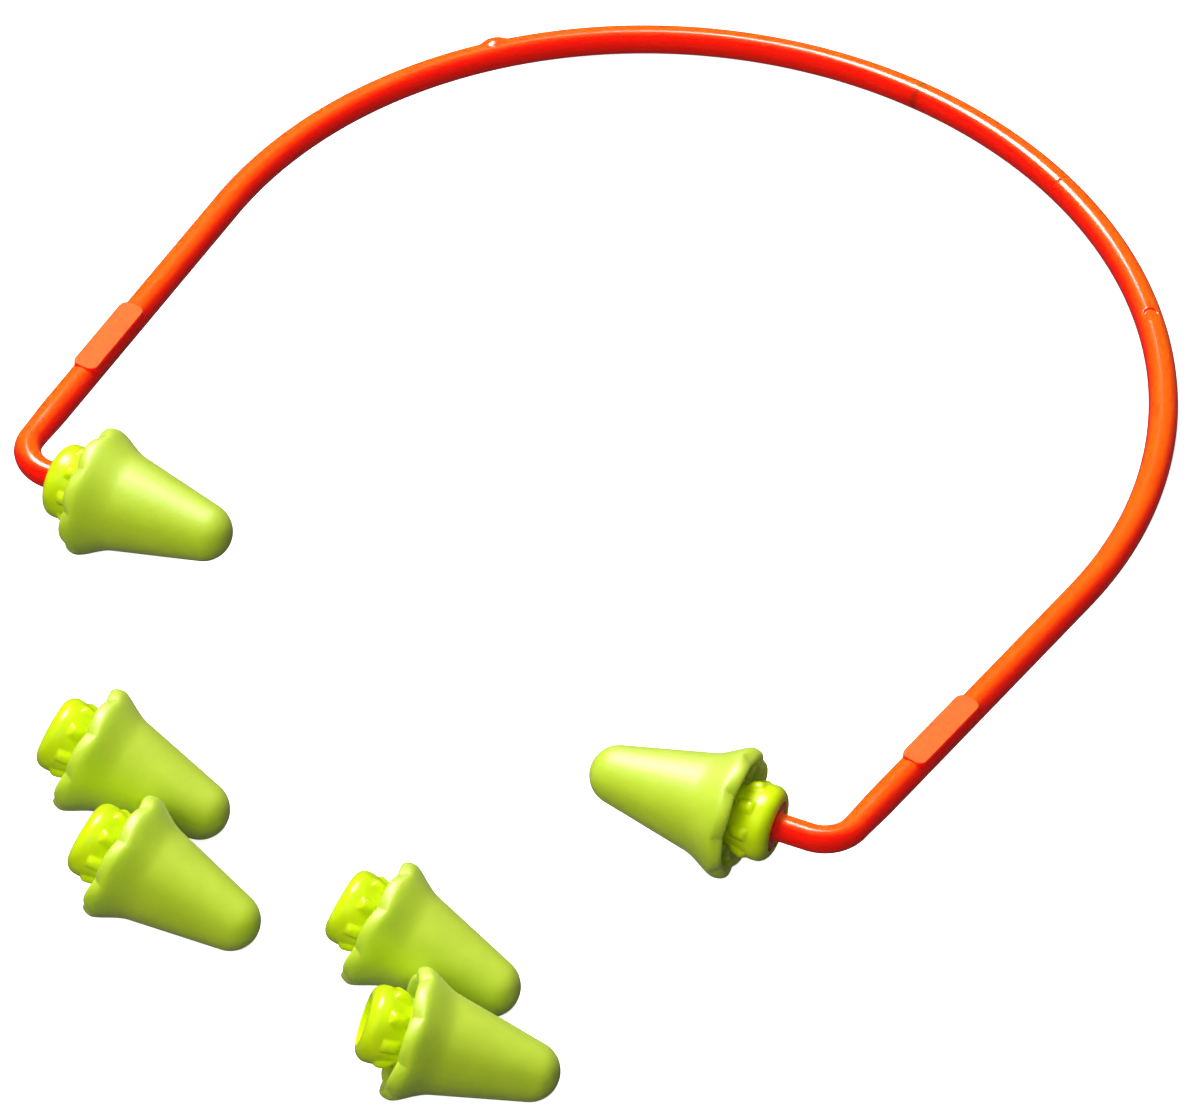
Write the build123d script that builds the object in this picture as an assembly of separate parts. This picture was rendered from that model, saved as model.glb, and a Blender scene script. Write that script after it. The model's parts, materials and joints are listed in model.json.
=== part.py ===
from build123d import *
from math import asin, atan2, cos, degrees, radians, sin, sqrt, tan
import os

# Banded hearing protector: one moulded band with a soft ear pod on each inturned
# end, and four spare pods. Millimetres, +Z up. The protector lies on a surface:
# the crown of the band and the skirts of the mounted pods touch it.
# X is across the band, +Y points from the open end to the crown.

# ---- band ----
rod_r = 2.0            # round section of the band
arch_r = 68.0          # centreline of the crown's circular arch
bend_r = 5.0           # centreline of the bend at the end of each arm
stem_r = 1.85          # section through the bend and the stem
taper_len = 6.0        # arm length over which the rod thins to stem_r
flex_angle = 38.0      # where the crown ends and each arm begins, from the apex
flex_gap = 0.1         # clearance between the cut faces
arm_angle = {"left": 4.0, "right": 3.4}     # arm's lean inwards from straight back, degrees
arm_len = {"left": 57.6, "right": 56.5}     # end of the arch to the bend's corner
stem_lean = {"left": 6.6, "right": -9.7}    # stem's turn towards the crown, degrees
stem_len = {"left": 11.2, "right": 13.0}    # bend's corner to the rim plane of the pod

# ---- features on the band ----
pad_from_apex = 104.9  # centre of the flat grip pad, along Y from the apex
pad_size = (14.0, 3.6)
pad_top = 2.2          # above the rod's axis
pad_corner = 1.2
tick_count = 5         # plain raised ticks on each pad
tick_size = (0.35, 1.3, 0.15)
tick_pitch = 1.3
nub_angle = 52.0       # gate nub on the outside of the left arm
nub_r = 1.2
nub_height = 0.6
dimple_angle = 47.0    # ejector dimple on top of the right arm
dimple_r = 1.2
dimple_depth = 0.25

# ---- socket fit between band and pod ----
pin_r = 1.7
pin_len = 8.0
pin_chamfer = 0.4
socket_clearance = 0.05
flange_r = 3.15
flange_thick = 0.8
recess_clearance = 0.2
seat_gap = 0.1         # flange face to the recess floor
bore_spare = 1.0       # bore runs this much past the pin

# ---- hub of a pod ----
hub_r = 5.0
hub_back = 4.7         # behind the rim plane
hub_shoulder = 1.2
hub_seat = 4.0         # head's depth inside the skirt
core_r = 3.3           # stem of the hub inside the foam
core_len = 7.0
rib_count = 8
rib_r = 0.75
rib_out = 0.4          # a rib stands this far out of the hub
rib_len = 3.6

# ---- foam of a pod ----
foam_len = 21.5        # rim plane to the end of the tip
tip_r = 4.0
cone_angle = 12.7
flare_start = 5.0      # height of the cone's wide end
rim_r = 9.2
rim_edge = 0.5
rim_wall = 1.3
pocket_depth = 4.0
pocket_floor_wall = 1.4
crease_r = 8.4         # rim radius at the bottom of a crease
crease_cutter_r = 2.2
web_thick = 1.1
web_setback = 0.8      # webs start this far inside the rim plane

# ---- spare pods: rim centre x, distance of the rim centre from the apex, heading ----
spare_places = [
    (-27.8, 166.1, 8.5),
    (-14.1, 178.8, 6.0),
    (20.2, 170.4, 7.0),
    (33.2, 184.0, 23.5),
]

petal_pitch = 360.0 / rib_count
recess_r = flange_r + recess_clearance
recess_depth = flange_thick + seat_gap + seat_gap
bore_r = pin_r + socket_clearance
bore_start = recess_depth - hub_back
bore_end = bore_start - seat_gap + pin_len + bore_spare
sides = {"left": -1, "right": 1}


def heading_vector(angle):
    """Unit vector in the band plane at an angle from +X, in degrees."""
    return Vector(cos(radians(angle)), sin(radians(angle)), 0)


def pod_profile_cone():
    """Wide end, narrow end and tip centre of the foam's cone, as (r, z) values."""
    centre = foam_len - tip_r
    slope = radians(cone_angle)
    top_r = tip_r * cos(slope)
    top_z = centre + tip_r * sin(slope)
    wide_r = top_r + (top_z - flare_start) * tan(slope)
    return wide_r, top_r, top_z, centre


def make_pocket(floor_r):
    """Space under the skirt: open behind, left solid where the webs stand."""
    mouth_r = rim_r - rim_wall
    with BuildPart() as pocket:
        with BuildSketch(Plane.XZ):
            with BuildLine():
                Polyline(
                    (0, -1),
                    (mouth_r, -1),
                    (mouth_r, 0),
                    (floor_r + rim_wall, pocket_depth * 0.4),
                    (floor_r, pocket_depth),
                    (0, pocket_depth),
                    close=True,
                )
            make_face()
        revolve(axis=Axis.Z)
        with PolarLocations(hub_r, rib_count, start_angle=petal_pitch / 2):
            with Locations((0, 0, web_setback)):
                Box(
                    rim_r - hub_r,
                    web_thick,
                    pocket_depth - web_setback,
                    align=(Align.MIN, Align.CENTER, Align.MIN),
                    mode=Mode.SUBTRACT,
                )
    return pocket.part


def make_foam():
    """Foam pod: a blunt cone with a flared, petalled skirt, open pockets and webs."""
    slope = radians(cone_angle)
    wide_r, top_r, top_z, centre = pod_profile_cone()
    half_turn = radians(90 - cone_angle) / 2
    with BuildPart() as foam:
        with BuildSketch(Plane.XZ):
            with BuildLine():
                l1 = Line((0, 0), (0, foam_len))
                l2 = ThreePointArc(
                    l1 @ 1,
                    (tip_r * sin(half_turn), centre + tip_r * cos(half_turn)),
                    (top_r, top_z),
                )
                l3 = Line(l2 @ 1, (wide_r, flare_start))
                l4 = TangentArc(l3 @ 1, (rim_r, rim_edge), tangent=(sin(slope), -cos(slope)))
                l5 = ThreePointArc(
                    l4 @ 1, (rim_r - rim_edge * 0.3, rim_edge * 0.3), (rim_r - rim_edge, 0)
                )
                Line(l5 @ 1, l1 @ 0)
            make_face()
        revolve(axis=Axis.Z)
        # core hole for the hub's stem
        with Locations((0, 0, pocket_depth + core_len / 2)):
            Cylinder(core_r, core_len, mode=Mode.SUBTRACT)
        # creases in the rim
        with PolarLocations(crease_r + crease_cutter_r, rib_count, start_angle=petal_pitch / 2):
            Cylinder(crease_cutter_r, 2 * flare_start, mode=Mode.SUBTRACT)
        add(make_pocket(wide_r - pocket_floor_wall), mode=Mode.SUBTRACT)
    return foam.part


def make_hub():
    """Hub: ribbed head with the socket for the band, and a core inside the foam."""
    with BuildPart() as hub:
        with BuildSketch(Plane.XZ):
            with BuildLine():
                Polyline(
                    (0, -hub_back),
                    (hub_r, -hub_back),
                    (hub_r, hub_seat),
                    (core_r, hub_seat),
                    (core_r, hub_seat + core_len),
                    (0, hub_seat + core_len),
                    close=True,
                )
            make_face()
        revolve(axis=Axis.Z)
        rear = hub.edges().filter_by(GeomType.CIRCLE).group_by(Axis.Z)[0]
        fillet(rear, hub_shoulder)
        with PolarLocations(hub_r + rib_out - rib_r, rib_count, start_angle=petal_pitch / 2):
            with Locations((0, 0, -hub_back + hub_shoulder)):
                Cylinder(rib_r, rib_len, align=(Align.CENTER, Align.CENTER, Align.MIN))
        with Locations((0, 0, -hub_back)):
            Cylinder(
                recess_r, recess_depth, align=(Align.CENTER, Align.CENTER, Align.MIN),
                mode=Mode.SUBTRACT,
            )
        with Locations((0, 0, bore_start)):
            Cylinder(
                bore_r, bore_end - bore_start, align=(Align.CENTER, Align.CENTER, Align.MIN),
                mode=Mode.SUBTRACT,
            )
    return hub.part


def arch_point(angle, sign=1, radius=arch_r):
    """Point of the arch at an angle from the apex, in degrees, towards one side."""
    return Vector(sign * radius * sin(radians(angle)), radius * cos(radians(angle)), 0)


def rod_section(origin, direction, radius):
    """Round section of the band at a point, square to a direction."""
    return Plane(origin=origin, z_dir=direction) * Circle(radius)


def make_crown():
    """Middle of the band: the arch between the two flex lines."""
    trim = degrees(flex_gap / 2 / arch_r)
    half = flex_angle - trim
    path = Edge.make_circle(arch_r, start_angle=90 - half, end_angle=90 + half)
    section = rod_section(path @ 0, path % 0, rod_r)
    return sweep(section, path=path)


def stem_layout(side):
    """Corner of the bend, stem direction, arm direction and rim centre on one side."""
    sign = sides[side]
    lean = radians(arm_angle[side])
    end = arch_point(90 + arm_angle[side], sign)
    arm_dir = Vector(-sign * sin(lean), -cos(lean), 0)
    corner = end + arm_dir * arm_len[side]
    stem_dir = Vector(
        -sign * cos(radians(stem_lean[side])), sin(radians(stem_lean[side])), 0
    )
    return end, arm_dir, corner, stem_dir, corner + stem_dir * stem_len[side]


def make_arm(side):
    """One arm of the band, from its flex line to the pin that holds the pod."""
    sign = sides[side]
    end, arm_dir, corner, stem_dir, rim = stem_layout(side)
    half_turn = arm_dir.get_angle(stem_dir) / 2
    tangent_len = bend_r * tan(radians(half_turn))
    bend_in = corner - arm_dir * tangent_len
    bend_out = corner + stem_dir * tangent_len
    taper_start = bend_in - arm_dir * taper_len
    trim = degrees(flex_gap / 2 / arch_r)
    start_angle = flex_angle + trim

    arch = ThreePointArc(
        arch_point(start_angle, sign),
        arch_point((start_angle + 90 + arm_angle[side]) / 2, sign),
        end,
    )
    arm = sweep(rod_section(arch @ 0, arch % 0, rod_r), path=arch)
    straight = Line(end, taper_start)
    arm += sweep(rod_section(end, arm_dir, rod_r), path=straight)
    arm += loft([
        rod_section(taper_start, arm_dir, rod_r),
        rod_section(bend_in, arm_dir, stem_r),
    ])
    bend = TangentArc(bend_in, bend_out, tangent=arm_dir)
    arm += sweep(rod_section(bend_in, arm_dir, stem_r), path=bend)

    flange_back = rim - stem_dir * (hub_back - seat_gap)
    stem = Line(bend_out, flange_back)
    arm += sweep(rod_section(bend_out, stem_dir, stem_r), path=stem)
    arm += extrude(rod_section(flange_back, stem_dir, flange_r), flange_thick)
    pin_back = flange_back + stem_dir * flange_thick
    pin = extrude(rod_section(pin_back, stem_dir, pin_r), pin_len)
    pin_end = pin.edges().filter_by(GeomType.CIRCLE).sort_by(
        lambda edge: (edge.arc_center - pin_back).length
    )[-1]
    arm += chamfer(pin_end, pin_chamfer)

    # flat grip pad with plain ticks, on the upper face
    along = (pad_from_apex - arch_r + end.Y) / cos(radians(arm_angle[side]))
    pad_centre = end + arm_dir * along
    pad_plane = Plane(origin=pad_centre, x_dir=arm_dir, z_dir=(0, 0, 1))
    arm += extrude(
        pad_plane * RectangleRounded(pad_size[0], pad_size[1], pad_corner), pad_top
    )
    top_plane = pad_plane.offset(pad_top)
    for index in range(tick_count):
        shift = (index - (tick_count - 1) / 2) * tick_pitch
        arm += extrude(
            top_plane * Pos(shift, 0) * Rectangle(tick_size[0], tick_size[1]), tick_size[2]
        )
    if side == "left":
        nub_dir = arch_point(nub_angle, sign, 1.0)
        nub_base = arch_point(nub_angle, sign)
        arm += extrude(rod_section(nub_base, nub_dir, nub_r), rod_r + nub_height)
    else:
        dimple = arch_point(dimple_angle, sign) + Vector(0, 0, rod_r - dimple_depth)
        arm -= extrude(rod_section(dimple, Vector(0, 0, 1), dimple_r), rod_r)
    return arm


def pod_location(rim, direction, roll=0.0):
    """Location that puts a pod's rim plane at rim with its tip along direction."""
    plane = Plane(origin=rim, x_dir=direction.cross(Vector(0, 0, 1)), z_dir=direction)
    return plane.location * Rot(0, 0, roll)


# ---- how the protector lies ----
rest_span = min(arch_r - stem_layout(side)[4].Y for side in sides)
tilt = 2 * atan2(
    sqrt(rest_span**2 + rim_r**2 - rod_r**2) - rest_span, rim_r + rod_r
)
band_place = Location(
    (0, arch_r - arch_r * cos(tilt), rod_r + arch_r * sin(tilt)), (-degrees(tilt), 0, 0)
)
petal_down = 90.0

tip_reach = foam_len - tip_r - rim_edge    # widest section of the skirt to the tip's centre
spare_dip = degrees(atan2(rim_r, tip_reach) - asin(tip_r / sqrt(rim_r**2 + tip_reach**2)))


def spare_location(place):
    """A spare lies on its skirt and its tip, so its axis dips towards the tip."""
    x, from_apex, heading = place
    dip = radians(spare_dip)
    rim = Vector(x, arch_r - from_apex, rim_r * cos(dip) + rim_edge * sin(dip))
    flat = heading_vector(heading)
    direction = Vector(flat.X * cos(dip), flat.Y * cos(dip), -sin(dip))
    return pod_location(rim, direction, petal_down)


# ---- assembly ----
foam_solid = make_foam()
hub_solid = make_hub()
nodes = {"band_crown": band_place * make_crown()}
for side in sides:
    nodes[f"band_{side}_arm"] = band_place * make_arm(side)
    layout = stem_layout(side)
    seat = band_place * pod_location(layout[4], layout[3], petal_down)
    nodes[f"{side}_foam_tip"] = seat * foam_solid
    nodes[f"{side}_hub"] = seat * hub_solid
for number, place in enumerate(spare_places, start=1):
    seat = spare_location(place)
    nodes[f"spare_{number}_foam_tip"] = seat * foam_solid
    nodes[f"spare_{number}_hub"] = seat * hub_solid

# the origin is under the middle of the whole set, on the surface it lies on
boxes = [solid.bounding_box() for solid in nodes.values()]
low = [min(tuple(box.min)[axis] for box in boxes) for axis in range(3)]
high = [max(tuple(box.max)[axis] for box in boxes) for axis in range(3)]
to_origin = Pos(-(low[0] + high[0]) / 2, -(low[1] + high[1]) / 2, -low[2])

os.makedirs("parts", exist_ok=True)
for name, solid in nodes.items():
    export_step(to_origin * solid, f"parts/{name}.step")
print("tilt", round(degrees(tilt), 3), "spare dip", round(spare_dip, 3))
print("shift to the origin", to_origin.position)
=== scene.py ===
"""Looks of a banded hearing protector with two mounted ear pods and four spares.

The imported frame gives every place: the flex hinges give the band's plane, the ear tip
mounts give the mounted pods and the socket mounts give the spares. Sizes inside the
classes are millimetres in each piece's own axes, and meshes are written in metres.
"""

import json
import logging
import math
from dataclasses import dataclass, field
from enum import Enum

import bpy
import numpy as np
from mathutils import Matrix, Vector

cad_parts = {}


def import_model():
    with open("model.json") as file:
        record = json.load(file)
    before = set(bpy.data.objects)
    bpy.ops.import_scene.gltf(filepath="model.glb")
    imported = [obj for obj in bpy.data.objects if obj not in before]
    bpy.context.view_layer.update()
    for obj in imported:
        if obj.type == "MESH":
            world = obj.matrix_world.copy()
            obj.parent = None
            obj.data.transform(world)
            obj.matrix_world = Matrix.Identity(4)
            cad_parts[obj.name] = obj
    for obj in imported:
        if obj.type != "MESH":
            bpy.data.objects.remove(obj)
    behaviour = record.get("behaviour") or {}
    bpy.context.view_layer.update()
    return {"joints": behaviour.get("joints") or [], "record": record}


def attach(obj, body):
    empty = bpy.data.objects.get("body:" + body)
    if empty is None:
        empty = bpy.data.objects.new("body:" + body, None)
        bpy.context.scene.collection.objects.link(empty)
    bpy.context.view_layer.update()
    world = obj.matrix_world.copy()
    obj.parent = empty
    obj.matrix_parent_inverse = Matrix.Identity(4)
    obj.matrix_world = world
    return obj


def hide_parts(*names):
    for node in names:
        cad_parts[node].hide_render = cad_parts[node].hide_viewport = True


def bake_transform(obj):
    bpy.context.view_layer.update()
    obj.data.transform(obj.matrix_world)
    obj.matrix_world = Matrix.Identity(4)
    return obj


MM = 0.001
PETALS = 8
PETAL_PITCH = 2 * math.pi / PETALS
GRIP = "grip"
LOG = logging.getLogger("protector")


class Side(Enum):
    """One arm of the band. The value is the sign of its X."""

    LEFT = -1
    RIGHT = 1

    @property
    def word(self) -> str:
        """The side's name as bodies and nodes spell it."""
        return self.name.lower()


def smooth(low: float, high: float, value: np.ndarray) -> np.ndarray:
    """Smooth step of value from 0 at low to 1 at high; low may be above high.

    Args:
        low: Value where the step starts.
        high: Value where the step ends.
        value: Numbers to map.

    Returns:
        Numbers from 0 to 1.
    """
    t = np.clip((np.asarray(value, float) - low) / (high - low), 0, 1)
    return t * t * (3 - 2 * t)


def soft_max(a: np.ndarray, b: np.ndarray, blend: float) -> np.ndarray:
    """The larger of a and b, rounded over where they are nearly equal.

    Args:
        a: First numbers.
        b: Second numbers.
        blend: Width of the rounding, in the numbers' own unit.

    Returns:
        Numbers no less than either input.
    """
    h = np.clip(0.5 + 0.5 * (a - b) / blend, 0, 1)
    return b + (a - b) * h + blend * h * (1 - h)


@dataclass(frozen=True)
class Axes:
    """A place and three directions in the row frame, the place in millimetres."""

    origin: np.ndarray
    x: np.ndarray
    y: np.ndarray
    z: np.ndarray

    @classmethod
    def along(cls, origin: np.ndarray, direction: np.ndarray) -> "Axes":
        """Axes whose z is a direction, turned so that a petal points down.

        Args:
            origin: Place of the axes, in millimetres.
            direction: The z axis, which isn't vertical.

        Returns:
            The axes.
        """
        z = direction / np.linalg.norm(direction)
        level = np.cross(z, (0.0, 0.0, 1.0))
        level = level / np.linalg.norm(level)
        return cls(origin, np.cross(z, level), -level, z)

    def place(self, points: np.ndarray) -> np.ndarray:
        """Points in these axes, in millimetres, as points of the row frame in metres."""
        turned = points[..., 0:1] * self.x + points[..., 1:2] * self.y + points[..., 2:3] * self.z
        return (turned + self.origin) * MM


class Sock:
    """A shader socket that takes arithmetic; each operator adds a Math node."""

    def __init__(self, shader: "Shader", socket: bpy.types.NodeSocket) -> None:
        """Wraps an output socket of a node in the shader's tree."""
        self.shader = shader
        self.socket = socket

    def _math(self, operation: str, first: object, second: object) -> "Sock":
        """A Math node of one operation on two values or links."""
        return self.shader.node("Math", {"operation": operation}, {0: first, 1: second})

    def __add__(self, other: object) -> "Sock":
        """self + other."""
        return self._math("ADD", self, other)

    __radd__ = __add__

    def __sub__(self, other: object) -> "Sock":
        """self - other."""
        return self._math("SUBTRACT", self, other)

    def __rsub__(self, other: object) -> "Sock":
        """other - self."""
        return self._math("SUBTRACT", other, self)

    def __mul__(self, other: object) -> "Sock":
        """self * other."""
        return self._math("MULTIPLY", self, other)

    __rmul__ = __mul__

    def step(self, low: float, high: float) -> "Sock":
        """Smooth step of the value.

        Args:
            low: Value that gives 0.
            high: Value that gives 1.

        Returns:
            The step, from 0 to 1.
        """
        return self.shader.node(
            "MapRange",
            {"interpolation_type": "SMOOTHSTEP"},
            {"Value": self, "From Min": low, "From Max": high, "To Min": 0.0, "To Max": 1.0},
        )


class Shader:
    """Builds one material's nodes around a Principled shader."""

    def __init__(self, name: str) -> None:
        """Makes a material with only its output node.

        Args:
            name: Name of the material.
        """
        self.material = bpy.data.materials.new(name)
        self.material.use_nodes = True
        self.tree = self.material.node_tree
        self.tree.nodes.clear()
        self.output = self.tree.nodes.new("ShaderNodeOutputMaterial")
        self.points = self.node("TexCoord", {}, {}, "Object")

    def node(
        self, kind: str, settings: dict, values: dict, output: str | int = 0
    ) -> Sock:
        """Adds a node, sets its settings, then its values or links.

        Args:
            kind: Node type without its ShaderNode prefix.
            settings: Attributes of the node, set first.
            values: Socket name or number to a value or a Sock.
            output: Name or number of the output to return.

        Returns:
            The output, ready for arithmetic.
        """
        made = self.tree.nodes.new("ShaderNode" + kind)
        for key, value in settings.items():
            setattr(made, key, value)
        for key, value in values.items():
            if isinstance(value, Sock):
                self.tree.links.new(value.socket, made.inputs[key])
            else:
                made.inputs[key].default_value = value
        return Sock(self, made.outputs[output])

    def noise(self, size_mm: float, detail: float = 2.0, roughness: float = 0.5) -> Sock:
        """Noise from 0 to 1 over the object.

        Args:
            size_mm: Size of its features.
            detail: Octaves of finer noise.
            roughness: Share of the finer noise.

        Returns:
            The noise.
        """
        return self.node(
            "TexNoise",
            {},
            {"Vector": self.points, "Scale": 1 / (size_mm * MM), "Detail": detail,
             "Roughness": roughness},
        )

    def mix(self, factor: Sock, first: tuple | Sock, second: tuple) -> Sock:
        """A colour between two.

        Args:
            factor: 0 gives the first colour and 1 the second.
            first: Colour, or the output of another mix.
            second: Colour.

        Returns:
            The colour.
        """
        made = self.node("Mix", {"data_type": "RGBA"}, {0: factor}, 2)
        colours = [s for s in made.socket.node.inputs if s.type == "RGBA"]
        for socket, value in zip(colours, (first, second)):
            if isinstance(value, Sock):
                self.tree.links.new(value.socket, socket)
            else:
                socket.default_value = (*value, 1.0)
        return made

    def bump(self, height: Sock, depth_mm: float, under: Sock | None = None) -> Sock:
        """A bumped normal.

        Args:
            height: Height from 0 to 1.
            depth_mm: Real depth of the relief.
            under: Normal that it is added to, if any.

        Returns:
            The normal.
        """
        values = {"Height": height, "Distance": depth_mm * MM, "Strength": 1.0}
        if under is not None:
            values["Normal"] = under
        return self.node("Bump", {}, values)

    def finish(self, values: dict) -> bpy.types.Material:
        """Adds the Principled shader.

        Args:
            values: Socket name to a value or a Sock.

        Returns:
            The material.
        """
        shader = self.node("BsdfPrincipled", {}, values, "BSDF")
        self.tree.links.new(shader.socket, self.output.inputs["Surface"])
        return self.material


@dataclass(frozen=True)
class BandFinish:
    """Glossy, slightly translucent moulding with painted light and shade: orange where its surface
    faces the light's side, red where it faces away.
    """

    # Painted light and shade: lit is the painted lit orange and deep is the painted shade red.
    lit: tuple = (0.98, 0.13, 0.0)
    deep: tuple = (0.92, 0.008, 0.0)
    # Direction of the painted light. The two facing thresholds below set where the painted shade
    # gives way to the lit colour.
    painted_light_dir: tuple = (-0.39, 0.6, 0.7)
    painted_tone_from: float = 0.2
    painted_tone_to: float = 0.85
    cloud_mm: float = 9.0
    cloud_share: float = 0.12
    gloss: float = 0.18
    scuff: float = 0.02
    scuff_mm: float = 1.1
    grip_rough: float = 0.55
    coat: float = 0.1
    peel_mm: float = 2.2
    peel_depth_mm: float = 0.003
    glow: float = 1.0
    glow_mm: float = 3.0

    def material(self) -> bpy.types.Material:
        """Builds the finish.

        Returns:
            The band's material.
        """
        shader = Shader("band_moulding")
        cloud = shader.noise(self.cloud_mm, 3.0)
        # Painted light and shade: the colour runs from deep red to lit orange as the surface normal
        # turns towards the light's direction, with a little random cloud.
        facing = shader.node(
            "VectorMath", {"operation": "DOT_PRODUCT"},
            {0: shader.node("NewGeometry", {}, {}, "Normal"), 1: self.painted_light_dir}, "Value",
        )
        painted_shade_and_cloud = (facing + self.cloud_share * cloud).step(self.painted_tone_from, self.painted_tone_to)
        colour = shader.mix(painted_shade_and_cloud, self.deep, self.lit)
        handled = shader.noise(self.scuff_mm, 4.0, 0.65).step(0.5, 0.8)
        grip = shader.node("Attribute", {"attribute_name": GRIP}, {}, "Fac")
        rough = self.gloss + self.scuff * handled + self.grip_rough * grip
        peel = shader.bump(shader.noise(self.peel_mm, 1.0), self.peel_depth_mm)
        return shader.finish({
            "Base Color": colour,
            "Roughness": rough,
            "Normal": peel,
            "Specular IOR Level": 0.55,
            "Coat Weight": self.coat * (1 - grip),
            "Coat Roughness": 0.07,
            "Subsurface Weight": self.glow,
            "Subsurface Radius": (1.0, 0.06, 0.01),
            "Subsurface Scale": self.glow_mm * MM,
        })


@dataclass(frozen=True)
class FoamFinish:
    """Soft lime foam with a fine moulded skin and painted shade in its pores."""

    lit: tuple = (0.56, 0.73, 0.014)
    deep: tuple = (0.52, 0.69, 0.008)
    cloud_mm: float = 5.0
    cell_mm: float = 0.42
    cell_depth_mm: float = 0.018
    pore_mm: float = 1.3
    pore_painted_shade: tuple = (0.40, 0.58, 0.01)
    pore_shade_share: float = 0.35
    pore_sink: float = 0.6
    matt: float = 0.44
    cell_matt: float = 0.14
    pore_matt: float = 0.1
    dimple_mm: float = 2.8
    dimple_depth_mm: float = 0.05

    def material(self) -> bpy.types.Material:
        """Builds the finish.

        Returns:
            The foam's material.
        """
        shader = Shader("pod_foam")
        cloud = shader.noise(self.cloud_mm, 4.0, 0.6)
        cells = shader.noise(self.cell_mm, 3.0, 0.6)
        body = shader.mix(cloud.step(0.3, 0.7), self.deep, self.lit)
        speck = shader.node(
            "TexVoronoi", {}, {"Vector": shader.points, "Scale": 1 / (self.pore_mm * MM)}
        )
        # Painted shade: the sunk pores are tinted darker, as if shade fell in them.
        pores = 1.0 - speck.step(0.04, 0.13)
        colour = shader.mix(self.pore_shade_share * pores, body, self.pore_painted_shade)
        rough = self.matt + self.cell_matt * cells + self.pore_matt * pores
        dimples = shader.bump(shader.noise(self.dimple_mm, 2.0), self.dimple_depth_mm)
        skin = shader.bump(cells - self.pore_sink * pores, self.cell_depth_mm, dimples)
        return shader.finish({
            "Base Color": colour,
            "Roughness": rough,
            "Normal": skin,
            "IOR": 1.7,
            "Specular IOR Level": 1.0,
            "Coat Weight": 1.0,
            "Coat Roughness": 0.55,
            "Sheen Weight": 0.1,
            "Sheen Roughness": 0.4,
            "Subsurface Weight": 0.8,
            "Subsurface Radius": (0.8, 1.0, 0.12),
            "Subsurface Scale": 2.4 * MM,
        })


@dataclass(frozen=True)
class HubFinish:
    """Glossy yellow-green moulding of the hubs."""

    lit: tuple = (0.62, 0.80, 0.0)
    deep: tuple = (0.54, 0.72, 0.0)
    cloud_mm: float = 3.0
    gloss: float = 0.3
    scuff: float = 0.1
    scuff_mm: float = 0.7
    peel_mm: float = 1.4
    peel_depth_mm: float = 0.012

    def material(self) -> bpy.types.Material:
        """Builds the finish.

        Returns:
            The hub's material.
        """
        shader = Shader("hub_moulding")
        cloud = shader.noise(self.cloud_mm, 3.0)
        colour = shader.mix(cloud.step(0.35, 0.65), self.deep, self.lit)
        handled = shader.noise(self.scuff_mm, 3.0).step(0.45, 0.8)
        rough = self.gloss + self.scuff * handled
        peel = shader.bump(shader.noise(self.peel_mm, 2.0), self.peel_depth_mm)
        return shader.finish({
            "Base Color": colour,
            "Roughness": rough,
            "Normal": peel,
            "Specular IOR Level": 0.5,
            "Coat Weight": 0.2,
            "Coat Roughness": 0.1,
            "Subsurface Weight": 0.35,
            "Subsurface Radius": (0.9, 1.0, 0.05),
            "Subsurface Scale": 1.2 * MM,
        })


@dataclass(frozen=True)
class FloorFinish:
    """Pale matt board, lit from behind like a light table."""

    name: str = "pale_floor"
    lit: tuple = (0.93, 0.93, 0.93)
    deep: tuple = (0.92, 0.92, 0.92)
    cloud_mm: float = 60.0
    glow: float = 0.85

    def material(self) -> bpy.types.Material:
        """Builds the finish.

        Returns:
            The board's material.
        """
        shader = Shader(self.name)
        cloud = shader.noise(self.cloud_mm, 2.0)
        return shader.finish({
            "Base Color": shader.mix(cloud, self.deep, self.lit),
            "Roughness": 0.75,
            "Specular IOR Level": 0.2,
            "Emission Color": (1.0, 1.0, 1.0, 1.0),
            "Emission Strength": self.glow,
        })


def ring_mesh(name: str, rings: np.ndarray, sharp_deg: float = 35.0) -> bpy.types.Object:
    """A closed mesh through rings of points, its first and last ring closed to their middle.

    Args:
        name: Name of the object and its mesh.
        rings: Ring, point and coordinate, in metres in the row frame.
        sharp_deg: Edges that turn by more than this stay sharp.

    Returns:
        The object, smooth shaded, with its faces turned outwards.
    """
    count, size = rings.shape[:2]
    ends = np.array([rings[0].mean(0), rings[-1].mean(0)])
    points = np.vstack([rings.reshape(-1, 3), ends])
    row = np.arange(count - 1)[:, None] * size
    a = np.arange(size)[None, :]
    b = (np.arange(size) + 1) % size
    quads = np.stack([row + a, row + b, row + size + b, row + size + a], -1).reshape(-1, 4)
    first = np.stack([np.full(size, count * size), b, np.arange(size)], -1)
    base = (count - 1) * size
    last = np.stack([np.full(size, count * size + 1), base + np.arange(size), base + b], -1)
    volume = np.einsum(
        "ij,ij->", points[quads[:, 0]], np.cross(points[quads[:, 1]], points[quads[:, 2]])
    ) + np.einsum(
        "ij,ij->", points[quads[:, 0]], np.cross(points[quads[:, 2]], points[quads[:, 3]])
    )
    faces = [*quads.tolist(), *first.tolist(), *last.tolist()]
    if volume < 0:
        faces = [face[::-1] for face in faces]
    mesh = bpy.data.meshes.new(name)
    mesh.from_pydata(points.tolist(), [], faces)
    mesh.validate()
    mesh.shade_smooth()
    mesh.set_sharp_from_angle(angle=math.radians(sharp_deg))
    made = bpy.data.objects.new(name, mesh)
    bpy.context.scene.collection.objects.link(made)
    return made


@dataclass(frozen=True)
class ArmShape:
    """What differs between the band's two arms. Lengths follow the CAD source."""

    side: Side
    lean_deg: float
    arm_len: float
    stem_lean_deg: float
    stem_len: float


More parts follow.
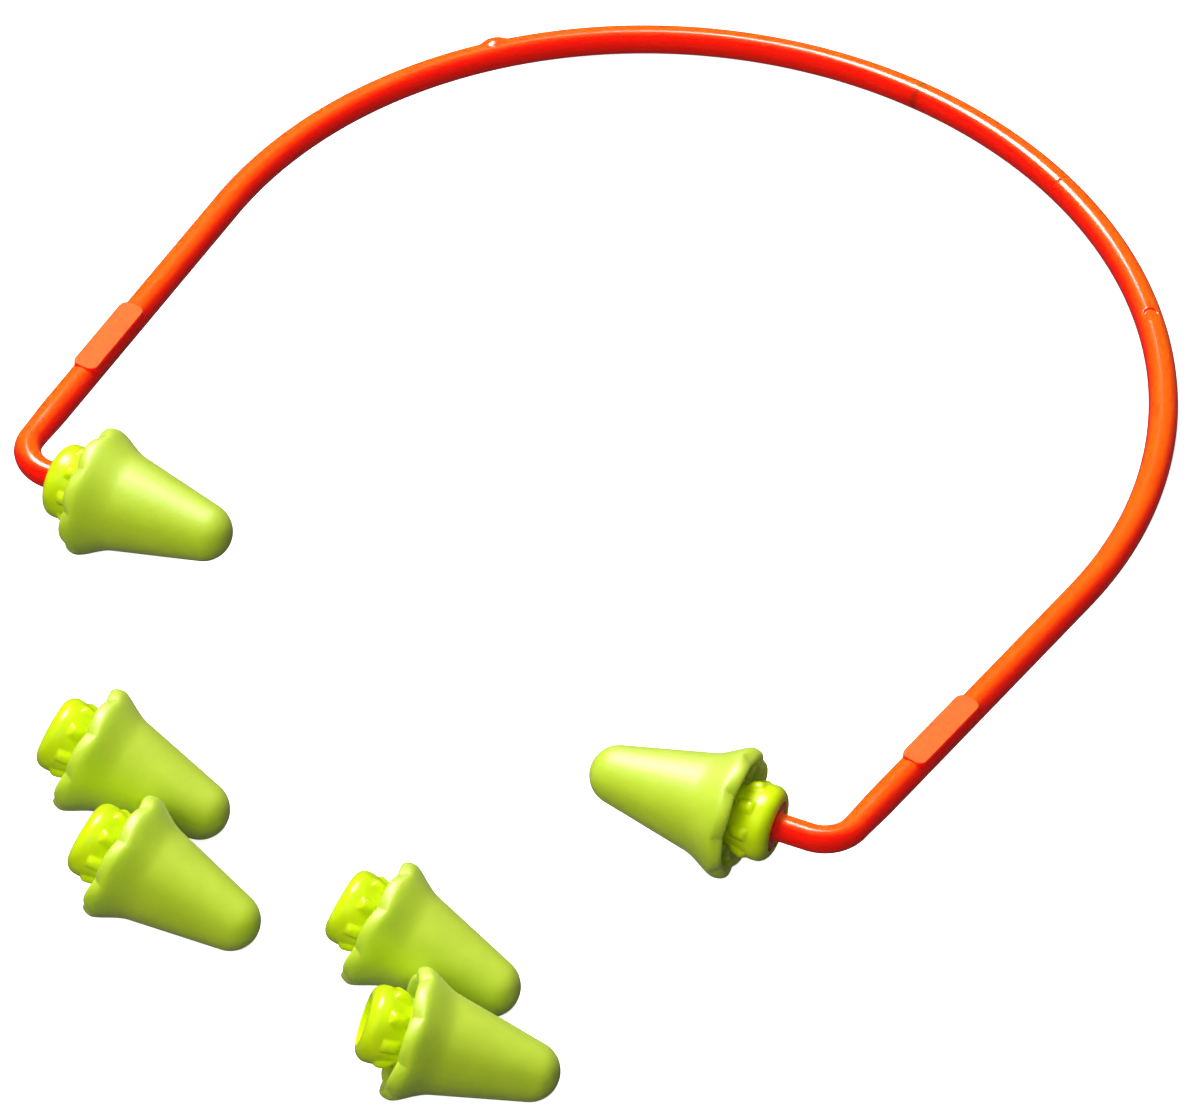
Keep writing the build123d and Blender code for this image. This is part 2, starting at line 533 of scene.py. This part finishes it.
@dataclass
class Band:
    """The moulded band, built as two halves that meet at the apex."""

    arms: tuple = (
        ArmShape(Side.LEFT, 4.0, 57.6, 6.6, 11.2),
        ArmShape(Side.RIGHT, 3.4, 56.5, -9.7, 13.0),
    )
    rod_r: float = 2.0
    arch_r: float = 68.0
    flex_deg: float = 38.0
    bend_r: float = 5.0
    stem_r: float = 1.85
    taper_len: float = 6.0
    hub_back: float = 4.7
    seat_gap: float = 0.1
    flange_r: float = 3.15
    flange_thick: float = 0.8
    flange_edge: float = 0.15
    root_flare: float = 0.45
    root_len: float = 0.9
    pin_r: float = 1.7
    pin_len: float = 8.0
    pin_chamfer: float = 0.4
    pin_end_r: float = 0.68
    pad_from_apex: float = 104.9
    pad_len: float = 14.0
    pad_width: float = 3.6
    pad_top: float = 2.2
    pad_corner: float = 1.2
    pad_round: float = 0.25
    pad_blend: float = 0.12
    pad_sunk: float = 0.1
    pad_margin: float = 0.6
    tick_count: int = 5
    tick_pitch: float = 1.3
    tick_half: tuple = (0.175, 0.65)
    tick_height: float = 0.03
    tick_fade: float = 0.12
    nub_deg: float = 52.0
    nub_up_deg: float = 36.0
    nub_r: float = 2.3
    nub_height: float = 0.52
    nub_crown: float = 0.2
    witness_deg: float = 22.5
    witness_half: float = 0.16
    witness_depth: float = 0.07
    witness_margin: float = 1.0
    dimple_deg: float = 47.0
    dimple_r: float = 1.2
    dimple_depth: float = 0.25
    dimple_wall: float = 0.86
    dimple_shallow: float = 0.35
    mark_margin: float = 0.5
    bend_margin: float = 1.0
    seam_height: float = 0.02
    seam_half: float = 0.1
    seam_fade: tuple = (3.0, 6.0)
    ring_points: int = 96
    step: float = 0.5
    fine_step: float = 0.11
    follow_deg: float = 80.0
    plane: Axes = field(init=False)

    def find_plane(self, joints: list) -> None:
        """Works out the band's plane and arch centre from its two flex hinges.

        Args:
            joints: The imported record's joints.
        """
        hinges = {j["name"]: j for j in joints}
        left = np.array(hinges["left_flex"]["pos_m"]) / MM
        right = np.array(hinges["right_flex"]["pos_m"]) / MM
        normal = np.array(hinges["right_flex"]["axis"])
        x = (right - left) / np.linalg.norm(right - left)
        y = np.cross(normal, x)
        outer = (self.arch_r + self.rod_r) * math.cos(math.radians(self.flex_deg))
        self.plane = Axes((left + right) / 2 - y * outer, x, y, normal)

    def route(self, arm: ArmShape) -> dict:
        """Lengths and corner points of one half's centreline, in the band's plane.

        Args:
            arm: The half's own sizes.

        Returns:
            Named lengths, points and unit vectors.
        """
        lean = math.radians(arm.lean_deg)
        stem_lean = math.radians(arm.stem_lean_deg)
        sign = arm.side.value
        end = np.array([sign * self.arch_r * math.cos(lean), -self.arch_r * math.sin(lean)])
        down = np.array([-sign * math.sin(lean), -math.cos(lean)])
        inward = np.array([-sign * math.cos(stem_lean), math.sin(stem_lean)])
        turn = math.acos(float(down @ inward))
        tangent = self.bend_r * math.tan(turn / 2)
        arch = self.arch_r * (math.pi / 2 + lean)
        pad = (self.pad_from_apex - self.arch_r + end[1]) / math.cos(lean)
        return {
            "end": end, "down": down, "inward": inward, "turn": turn, "arch": arch,
            "arm": arm.arm_len - tangent, "bend": self.bend_r * turn, "pad": arch + pad,
            "stem": arm.stem_len - tangent - self.hub_back + self.seat_gap,
        }

    def centreline(self, arm: ArmShape, along: np.ndarray) -> tuple:
        """Points and tangents of one half's centreline.

        Args:
            arm: The half's own sizes.
            along: Lengths from the apex.

        Returns:
            Points and unit tangents, both in the band's plane.
        """
        way = self.route(arm)
        sign = arm.side.value
        points, tangents = [], []
        for s in along:
            if s <= way["arch"]:
                angle = s / self.arch_r
                points.append((sign * self.arch_r * math.sin(angle), self.arch_r * math.cos(angle)))
                tangents.append((sign * math.cos(angle), -math.sin(angle)))
                continue
            s -= way["arch"]
            ahead = min(s, way["arm"])
            point = way["end"] + way["down"] * ahead
            s -= ahead
            inner = way["inward"] - way["down"] * float(way["inward"] @ way["down"])
            inner = inner / np.linalg.norm(inner)
            angle = min(s / self.bend_r, way["turn"])
            point = point + way["down"] * self.bend_r * math.sin(angle)
            point = point + inner * self.bend_r * (1 - math.cos(angle))
            tangent = way["down"] * math.cos(angle) + inner * math.sin(angle)
            ahead = max(0.0, s - way["bend"])
            points.append(tuple(point + way["inward"] * ahead))
            tangents.append(tuple(tangent))
        return np.array(points), np.array(tangents)

    def on_arch(self, degrees: float) -> float:
        """Length from the apex to an angle of the arch."""
        return math.radians(degrees) * self.arch_r

    def stations(self, arm: ArmShape) -> np.ndarray:
        """Lengths from the apex at which one half gets a ring, close together at its details.

        Args:
            arm: The half's own sizes.

        Returns:
            The lengths in order.
        """
        way = self.route(arm)
        total = way["arch"] + way["arm"] + way["bend"] + way["stem"]
        half_bend = way["bend"] / 2
        marks = [(way["pad"], self.pad_len / 2 + self.pad_margin)]
        if arm.side is Side.LEFT:
            marks.append((self.on_arch(self.nub_deg), self.nub_r + self.mark_margin))
        else:
            marks.append((self.on_arch(self.dimple_deg), self.dimple_r + self.mark_margin))
            marks.append((self.on_arch(self.witness_deg), self.witness_margin))
        marks.append((way["arch"] + way["arm"] + half_bend, half_bend + self.bend_margin))
        lengths = set(np.arange(0, total, self.step).round(3).tolist())
        for middle, half in marks:
            lengths -= {s for s in lengths if abs(s - middle) < half}
            fine = np.arange(middle - half, middle + half, self.fine_step)
            lengths |= set(fine[fine < total].round(3).tolist())
        lengths.add(round(total, 3))
        return np.array(sorted(lengths))

    def grip_pad(self, ahead: np.ndarray, around: np.ndarray) -> np.ndarray:
        """Reach of the grip pad, a rounded flat block on the upper face with plain ticks.

        Args:
            ahead: Lengths from the pad's middle, one column.
            around: Angles about the rod, one row.

        Returns:
            Radii, 0 outside the pad.
        """
        cosine = np.cos(around)
        sine = np.sin(around)
        far = np.abs(ahead)
        into = np.clip(far - (self.pad_len / 2 - self.pad_corner), 0, self.pad_corner)
        half = self.pad_width / 2 - self.pad_corner + np.sqrt(self.pad_corner**2 - into**2)
        up = np.maximum(sine, 1e-6)
        across = np.abs(self.pad_top * cosine / up)
        fade = self.tick_fade
        wide = smooth(self.tick_half[1] + fade, self.tick_half[1] - fade, across)
        top = self.pad_top * np.ones_like(ahead * sine)
        for index in range(self.tick_count):
            shift = (index - (self.tick_count - 1) / 2) * self.tick_pitch
            near = smooth(
                self.tick_half[0] + fade, self.tick_half[0] - fade, np.abs(ahead - shift)
            )
            top = top + self.tick_height * near * wide
        wall = half / np.maximum(np.abs(cosine), 1e-6)
        block = -soft_max(-top / up, -wall, self.pad_round)
        return np.where((far < self.pad_len / 2) & (sine > 0), block, 0.0)

    def radius(self, arm: ArmShape, s: np.ndarray, around: np.ndarray) -> np.ndarray:
        """Distance of the rod's surface from its centreline.

        Args:
            arm: The half's own sizes.
            s: Lengths from the apex, one column.
            around: Angles about the rod from the outward direction, one row; pi / 2 is up.

        Returns:
            Radii, one row for each length.
        """
        way = self.route(arm)
        bend_start = way["arch"] + way["arm"]
        total = bend_start + way["bend"] + way["stem"]
        taper = smooth(bend_start - self.taper_len, bend_start, s)
        rod = self.rod_r + (self.stem_r - self.rod_r) * taper
        rod = rod + self.root_flare * smooth(total - self.root_len, total, s) ** 2
        seam = self.seam_height * np.exp(-((self.rod_r * np.sin(around) / self.seam_half) ** 2))
        reach = rod + seam * smooth(total - self.seam_fade[0], total - self.seam_fade[1], s)
        block = self.grip_pad(s - way["pad"], around)
        joined = soft_max(block, reach, self.pad_blend)
        reach = np.where(block > reach - self.pad_sunk, joined, reach)

        if arm.side is Side.LEFT:
            ahead = s - self.on_arch(self.nub_deg)
            aside = self.rod_r * (around - math.radians(self.nub_up_deg))
            off = np.sqrt(ahead**2 + aside**2) / self.nub_r
            return reach + self.nub_height * smooth(1.0, self.nub_crown, off)
        ahead = s - self.on_arch(self.dimple_deg)
        aside = self.rod_r * (around - math.pi / 2)
        off = np.sqrt(ahead**2 + aside**2) / self.dimple_r
        deeper = smooth(self.dimple_r, -self.dimple_r, ahead)
        slope = self.dimple_shallow + (1 - self.dimple_shallow) * deeper
        reach = reach - self.dimple_depth * slope * smooth(1.0, self.dimple_wall, off)
        ahead = np.abs(s - self.on_arch(self.witness_deg))
        return reach - self.witness_depth * smooth(self.witness_half, 0.0, ahead)

    def tail(self) -> list:
        """The flange and pin past the stem's end.

        Returns:
            Pairs of a length past the stem's end and a radius.
        """
        edge = self.flange_edge
        bevel = 0.3 * edge
        thick = self.flange_thick
        end = thick + self.pin_len
        return [
            (0.0, self.flange_r - edge), (bevel, self.flange_r - bevel),
            (edge, self.flange_r), (thick - edge, self.flange_r),
            (thick - bevel, self.flange_r - bevel), (thick, self.flange_r - edge),
            (thick, self.pin_r), (end / 2, self.pin_r), (end - self.pin_chamfer, self.pin_r),
            (end, self.pin_r - self.pin_chamfer), (end, self.pin_end_r),
        ]

    def build(self, arm: ArmShape, finish: bpy.types.Material) -> bpy.types.Object:
        """Makes one half of the band.

        Args:
            arm: The half's own sizes.
            finish: Its material.

        Returns:
            The half band.
        """
        s = self.stations(arm)
        around = np.linspace(0, 2 * math.pi, self.ring_points, endpoint=False)
        points, tangents = self.centreline(arm, s)
        reach = self.radius(arm, s[:, None], around[None, :])
        for ahead, r in self.tail():
            points = np.vstack([points, points[len(s) - 1] + tangents[-1] * ahead])
            tangents = np.vstack([tangents, tangents[-1]])
            reach = np.vstack([reach, np.full(self.ring_points, r)])
        sign = arm.side.value
        outward = sign * np.stack([-tangents[:, 1], tangents[:, 0]], -1)
        flat = points[:, None, :] + (reach * np.cos(around))[..., None] * outward[:, None, :]
        height = (reach * np.sin(around))[..., None]
        rings = self.plane.place(np.concatenate([flat, height], -1))
        half = ring_mesh(f"band_{arm.side.word}_half", rings)
        half.data.materials.append(finish)
        on_pad = np.abs(s - self.route(arm)["pad"]) < self.pad_len / 2
        grip = np.zeros((len(points), self.ring_points))
        grip[: len(s)] = on_pad[:, None] * smooth(0.2, 0.6, np.sin(around))[None, :]
        marks = half.data.attributes.new(GRIP, "FLOAT", "POINT")
        marks.data.foreach_set("value", np.append(grip.ravel(), (0.0, 0.0)))
        ends = np.radians([0.0, self.follow_deg])
        flex = np.stack([sign * np.sin(ends), np.cos(ends), 0 * ends], -1) * self.arch_r
        start, end = self.plane.place(flex)
        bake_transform(half)
        return half

    def dress(self, joints: list, finish: bpy.types.Material) -> list:
        """Builds both halves in place of the band's three CAD nodes.

        Args:
            joints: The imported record's joints.
            finish: The band's material.

        Returns:
            The two halves.
        """
        self.find_plane(joints)
        halves = [self.build(arm, finish) for arm in self.arms]
        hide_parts("band_crown", "band_left_arm")
        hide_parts("band_right_arm")
        return halves


@dataclass
class EarPod:
    """A foam pod on its ribbed hub. z runs from the rim plane to the tip."""

    foam_len: float = 21.5
    tip_r: float = 4.0
    tip_open_deg: float = 2.0
    cone_deg: float = 12.7
    flare_start: float = 6.2
    flare_pull: tuple = (5.6, 3.2)
    rim_r: float = 8.85
    lip_z: float = 1.35
    lip_in: float = 0.8
    rim_wall: float = 0.75
    notch: float = 0.6
    notch_power: float = 0.9
    notch_fade: tuple = (2.4, 0.3)
    notch_curve: float = 1.3
    notch_set: float = 0.35
    rim_steps: tuple = (0.3, 0.6, 0.85, 1.0)
    mouth: float = 0.5
    pocket_depth: float = 4.0
    pocket_floor: float = 0.7
    pocket_curve: float = 0.75
    web_half: float = 0.5
    web_edge: tuple = (0.2, 0.1)
    web_set: float = 0.75
    web_sag: float = 0.25
    hub_r: float = 5.0
    hub_back: float = 4.7
    hub_shoulder: float = 1.55
    hub_belly: float = 0.12
    hub_waist: float = 0.5
    waist_over: tuple = (-2.8, 0.6)
    head_wall: float = 0.5
    head_past: float = 0.4
    hub_seat: float = 4.0
    core_r: float = 3.3
    core_len: float = 7.0
    rib_half: float = 1.0
    rib_out: float = 0.62
    rib_from: float = -2.1
    rib_to: float = 0.5
    recess_r: float = 3.35
    recess_depth: float = 1.0
    recess_edge: float = 0.15
    bore_r: float = 1.75
    bore_end: float = 5.2
    bore_axis_r: float = 0.2
    axis_r: float = 0.3
    skin_gap: float = 0.02
    points_per_petal: int = 32
    point_spread: tuple = (0.45, 2.2)
    tip_rows: int = 18
    cone_rows: int = 16
    flare_rows: int = 28
    lip_rows: int = 12
    pocket_rows: int = 20
    shoulder_rows: int = 10
    head_rows: int = 30

    def around(self) -> tuple:
        """Directions about the axis, closer together at the creases between petals.

        Returns:
            Angles, and each angle's distance from the nearest crease.
        """
        part = (np.arange(self.points_per_petal) + 0.5) / self.points_per_petal - 0.5
        even, cubed = self.point_spread
        offset = PETAL_PITCH * (even * part + cubed * part**3)
        crease = PETAL_PITCH * (np.arange(PETALS) + 0.5)
        angles = (crease[:, None] + offset[None, :]).ravel()
        return angles, np.tile(offset, PETALS)

    def profile(self) -> np.ndarray:
        """Plain outline of the foam from its tip to its rim.

        Returns:
            Rows of a radius and a z.
        """
        slope = math.radians(self.cone_deg)
        centre = self.foam_len - self.tip_r
        sweep = np.linspace(math.radians(self.tip_open_deg), math.pi / 2 - slope, self.tip_rows)
        tip = np.stack([self.tip_r * np.sin(sweep), centre + self.tip_r * np.cos(sweep)], -1)
        top_r, top_z = tip[-1]
        wide = top_r + (top_z - self.flare_start) * math.tan(slope)
        share = np.linspace(0, 1, self.cone_rows)[1:, None]
        cone = tip[-1] * (1 - share) + np.array([wide, self.flare_start]) * share
        t = np.linspace(0, 1, self.flare_rows)[1:, None]
        pull = np.array([[math.tan(slope), -1.0], [0.0, -1.0]]) * np.array(self.flare_pull)[:, None]
        flare = (
            cone[-1] * (1 + 2 * t) * (1 - t) ** 2 + pull[0] * t * (1 - t) ** 2
            + np.array([self.rim_r, self.lip_z]) * t**2 * (3 - 2 * t) - pull[1] * t**2 * (1 - t)
        )
        bow = np.linspace(0, math.pi / 2, self.lip_rows)[1:]
        lip = np.stack([
            self.rim_r - self.lip_in * (1 - np.cos(bow)), self.lip_z * (1 - np.sin(bow))
        ], -1)
        return np.vstack([tip, cone, flare, lip])

    def foam_rings(self) -> np.ndarray:
        """Rings of the foam: outside from the tip, round the rim, then the pockets and webs.

        Returns:
            Ring, point and coordinate, in millimetres.
        """
        angles, offset = self.around()
        # 0 in the middle of a petal, 1 at the bottom of a crease
        crease = 1 - np.abs(np.sin(PETALS / 2 * offset)) ** self.notch_power
        rows = []
        for r, z in self.profile():
            fade = float(smooth(*self.notch_fade, z)) ** self.notch_curve
            rows.append((r - self.notch * crease * fade, z + self.notch_set * crease * fade))
        rim = self.rim_r - self.lip_in - self.notch * crease
        lip = self.notch_set * crease
        for share in self.rim_steps:
            rows.append((rim - self.rim_wall * share, lip + self.mouth * share**2))
        inner = rim - self.rim_wall
        neck = self.hub_r - self.hub_waist + self.skin_gap
        for share in np.linspace(0, 1, self.pocket_rows)[1:]:
            r = inner + (neck - inner) * share
            sunk = min(1, share / self.pocket_floor) ** self.pocket_curve
            pocket = self.mouth + (self.pocket_depth - self.mouth) * sunk + lip * (1 - share)
            beside = np.abs(r * np.sin(offset))
            web = smooth(self.web_half + self.web_edge[0], self.web_half - self.web_edge[1], beside)
            edge = np.minimum(pocket, self.web_set + self.web_sag * math.sin(math.pi * share))
            rows.append((r, pocket + (edge - pocket) * web))
        full = np.ones_like(angles)
        seat = self.pocket_depth + self.skin_gap
        core = self.core_r + self.skin_gap
        top = self.hub_seat + self.core_len + self.skin_gap
        middle = (seat + top) / 2
        hole = [(neck, seat), (core, seat), (core, middle), (core, top), (self.axis_r, top)]
        rows += [(r * full, z * full) for r, z in hole]
        rings = [
            np.stack([r * np.cos(angles), r * np.sin(angles), z + 0 * angles], -1)
            for r, z in rows
        ]
        return np.array(rings)

    def hub_rings(self) -> np.ndarray:
        """Rings of the hub: its bore, recess and ribbed head, then its core.

        Returns:
            Ring, point and coordinate, in millimetres.
        """
        angles, offset = self.around()
        floor = self.recess_depth - self.hub_back
        line = [(self.bore_axis_r, self.bore_end), (self.bore_r, self.bore_end)]
        line += [(self.bore_r, floor), (self.recess_r, floor)]
        line += [(self.recess_r, self.recess_edge - self.hub_back)]
        line += [(self.recess_r + self.recess_edge, -self.hub_back)]
        bend = self.hub_shoulder
        for angle in np.linspace(0, math.pi / 2, self.shoulder_rows):
            line.append((
                self.hub_r - bend + bend * math.sin(angle),
                -self.hub_back + bend * (1 - math.cos(angle)),
            ))
        for z in np.linspace(bend - self.hub_back, self.rib_to + self.head_past, self.head_rows)[1:]:
            line.append((self.hub_r - self.hub_waist * float(smooth(*self.waist_over, z)), z))
        core_end = self.hub_seat + self.core_len
        line += [(self.hub_r - self.hub_waist, self.hub_seat), (self.core_r, self.hub_seat)]
        line += [(self.core_r, core_end), (self.axis_r, core_end)]
        middle = (self.rib_from + self.rib_to) / 2
        half = (self.rib_to - self.rib_from) / 2
        rings = []
        for r, z in line:
            out = r + np.zeros_like(angles)
            if r > self.recess_r + self.head_wall:
                tall = max(0.0, 1 - (abs(z - middle) / half) ** 3)
                beside = np.abs(r * np.sin(offset)) / self.rib_half
                out += self.rib_out * tall * np.maximum(0.0, 1 - beside**2)
                out += self.hub_belly * math.sin(math.pi * np.clip(1 + z / self.hub_back, 0, 1))
            rings.append(np.stack([out * np.cos(angles), out * np.sin(angles), z + 0 * out], -1))
        return np.array(rings)

    def dress(self, name: str, place: Axes, finishes: tuple) -> list:
        """Builds one pod at a place, riding on its body in place of its CAD nodes.

        Args:
            name: Start of the pod's node names, such as left or spare_1.
            place: Rim centre and axis.
            finishes: Materials of the foam and the hub.

        Returns:
            The foam piece and the hub piece.
        """
        body = name if name.startswith("spare") else f"{name}_pod"
        foam = ring_mesh(f"{name}_foam_pod", place.place(self.foam_rings()), 50.0)
        hub = ring_mesh(f"{name}_ribbed_hub", place.place(self.hub_rings()), 40.0)
        pieces = ((foam, "foam_tip", "pod_foam"), (hub, "hub", "hub_plastic"))
        for (piece, node, slot), finish in zip(pieces, finishes):
            piece.data.materials.append(finish)
            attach(piece, body)
            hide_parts(f"{name}_{node}")
        return [foam, hub]

    def places(self, mounts: list) -> dict:
        """Rim centre and axis of each pod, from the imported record's mounts.

        Args:
            mounts: The mounts: an ear tip for each mounted pod, a socket for each spare.

        Returns:
            Pod name to its axes.
        """
        found = {}
        socket_middle = (self.recess_depth - self.hub_back + self.bore_end) / 2
        for mount in mounts:
            spot = np.array(mount["pos_m"]) / MM
            axis = np.array(mount["axis"])
            if mount["name"].endswith("_ear_tip"):
                name = mount["name"].removesuffix("_ear_tip")
                found[name] = Axes.along(spot - axis * self.foam_len, axis)
            elif mount["name"].endswith("_socket"):
                name = mount["name"].removesuffix("_socket")
                found[name] = Axes.along(spot + axis * socket_middle, -axis)
        return found


@dataclass
class Studio:
    """Pale floor, soft lights and the camera."""

    azimuth_deg: float = 32.32
    elevation_deg: float = 48.31
    distance_mm: float = 1246.6
    view_width_mm: float = 160.95
    aim_mm: tuple = (7.45, -0.29, 0.0)
    floor_m: float = 4.0
    wall_m: float = 4.0
    wall_sides: int = 48
    key_from: tuple = (-0.409, 0.311, 0.858)
    key_along: tuple = (0.24, 0.97, -0.2)
    key_size_m: tuple = (0.85, 0.75)
    key_watts: float = 48.0
    key_away_m: float = 2.0
    fill_from: tuple = (-0.05, -0.62, 0.78)
    fill_along: tuple = (1.0, 0.0, 0.0)
    fill_size_m: tuple = (2.0, 1.4)
    fill_watts: float = 35.0
    fill_away_m: float = 2.0
    sky: float = 0.09

    def camera(self) -> None:
        """Adds the camera at its viewing angle."""
        lens = bpy.data.cameras.new("camera")
        lens.sensor_width = 36.0
        lens.lens = lens.sensor_width * self.distance_mm / self.view_width_mm
        lens.clip_start = 0.05
        lens.clip_end = 20.0
        made = bpy.data.objects.new("camera", lens)
        azimuth = math.radians(self.azimuth_deg)
        elevation = math.radians(self.elevation_deg)
        back = Vector((
            math.sin(azimuth) * math.cos(elevation),
            -math.cos(azimuth) * math.cos(elevation),
            math.sin(elevation),
        ))
        made.location = (Vector(self.aim_mm) + back * self.distance_mm) * MM
        made.rotation_mode = "QUATERNION"
        made.rotation_quaternion = (-back).to_track_quat("-Z", "Y")
        bpy.context.scene.collection.objects.link(made)
        bpy.context.scene.camera = made

    def light(
        self, name: str, toward: tuple, along: tuple, size: tuple, watts: float, away: float
    ) -> bpy.types.Object:
        """Adds a soft rectangular light that faces the object.

        Args:
            name: Name of the light.
            toward: Direction from the object to the light.
            along: Direction of the light's longer side.
            size: Longer and shorter side, in metres.
            watts: Its power.
            away: Its distance, in metres.

        Returns:
            The light.
        """
        lamp = bpy.data.lights.new(name, "AREA")
        lamp.shape = "RECTANGLE"
        lamp.size, lamp.size_y = size
        lamp.energy = watts
        made = bpy.data.objects.new(name, lamp)
        z = Vector(toward).normalized()
        x = Vector(along)
        x = (x - z * x.dot(z)).normalized()
        y = z.cross(x)
        turned = made.matrix_world.copy()
        for column, axis in enumerate((x, y, z)):
            for row in range(3):
                turned[row][column] = axis[row]
        made.matrix_world = turned
        made.location = z * away
        bpy.context.scene.collection.objects.link(made)
        return made

    def board(self, name: str, points: list, faces: list, finish: FloorFinish) -> None:
        """Adds a staged board that neither lights the object nor shows in its gloss.

        Args:
            name: Name of the board.
            points: Its corners, in metres.
            faces: Its faces.
            finish: Its finish.
        """
        mesh = bpy.data.meshes.new(name)
        mesh.from_pydata(points, [], faces)
        mesh.materials.append(finish.material())
        made = bpy.data.objects.new(name, mesh)
        made.visible_diffuse = False
        made.visible_glossy = False
        bpy.context.scene.collection.objects.link(made)

    def surroundings(self) -> None:
        """Adds the pale floor at the height the set lies on and a round white wall about it."""
        reach = self.floor_m
        square = [(-reach, -reach, 0), (reach, -reach, 0), (reach, reach, 0), (-reach, reach, 0)]
        self.board("floor", square, [(0, 1, 2, 3)], FloorFinish())
        turn = 2 * math.pi / self.wall_sides
        wall, faces = [], []
        for index in range(self.wall_sides):
            x, y = math.cos(turn * index) * reach, math.sin(turn * index) * reach
            wall += [(x, y, -self.wall_m), (x, y, self.wall_m)]
            after = (index + 1) % self.wall_sides
            faces.append((2 * index, 2 * after, 2 * after + 1, 2 * index + 1))
        self.board("wall", wall, faces, FloorFinish("white_wall", glow=1.0))

    def build(self) -> None:
        """Adds the camera, the lights, the sky, the floor and the wall."""
        self.camera()
        self.light(
            "key", self.key_from, self.key_along, self.key_size_m, self.key_watts, self.key_away_m
        )
        fill = self.light(
            "fill", self.fill_from, self.fill_along, self.fill_size_m, self.fill_watts,
            self.fill_away_m,
        )
        fill.visible_glossy = False
        world = bpy.data.worlds.new("studio")
        world.use_nodes = True
        sky = world.node_tree.nodes["Background"]
        sky.inputs["Color"].default_value = (1.0, 1.0, 1.0, 1.0)
        sky.inputs["Strength"].default_value = self.sky
        bpy.context.scene.world = world
        bpy.context.scene.view_settings.view_transform = "Standard"
        self.surroundings()


def main() -> None:
    """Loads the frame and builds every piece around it."""
    logging.basicConfig(level=logging.INFO, format="%(name)s %(message)s")
    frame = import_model()
    Studio().build()

    for half in Band().dress(frame["joints"], BandFinish().material()):
        LOG.info("%s with %d points", half.name, len(half.data.vertices))

    pod = EarPod()
    finishes = (FoamFinish().material(), HubFinish().material())
    for name, place in pod.places(frame["record"]["mounts"]).items():
        for piece in pod.dress(name, place, finishes):
            LOG.info("%s with %d points", piece.name, len(piece.data.vertices))


if __name__ == "__main__":
    main()
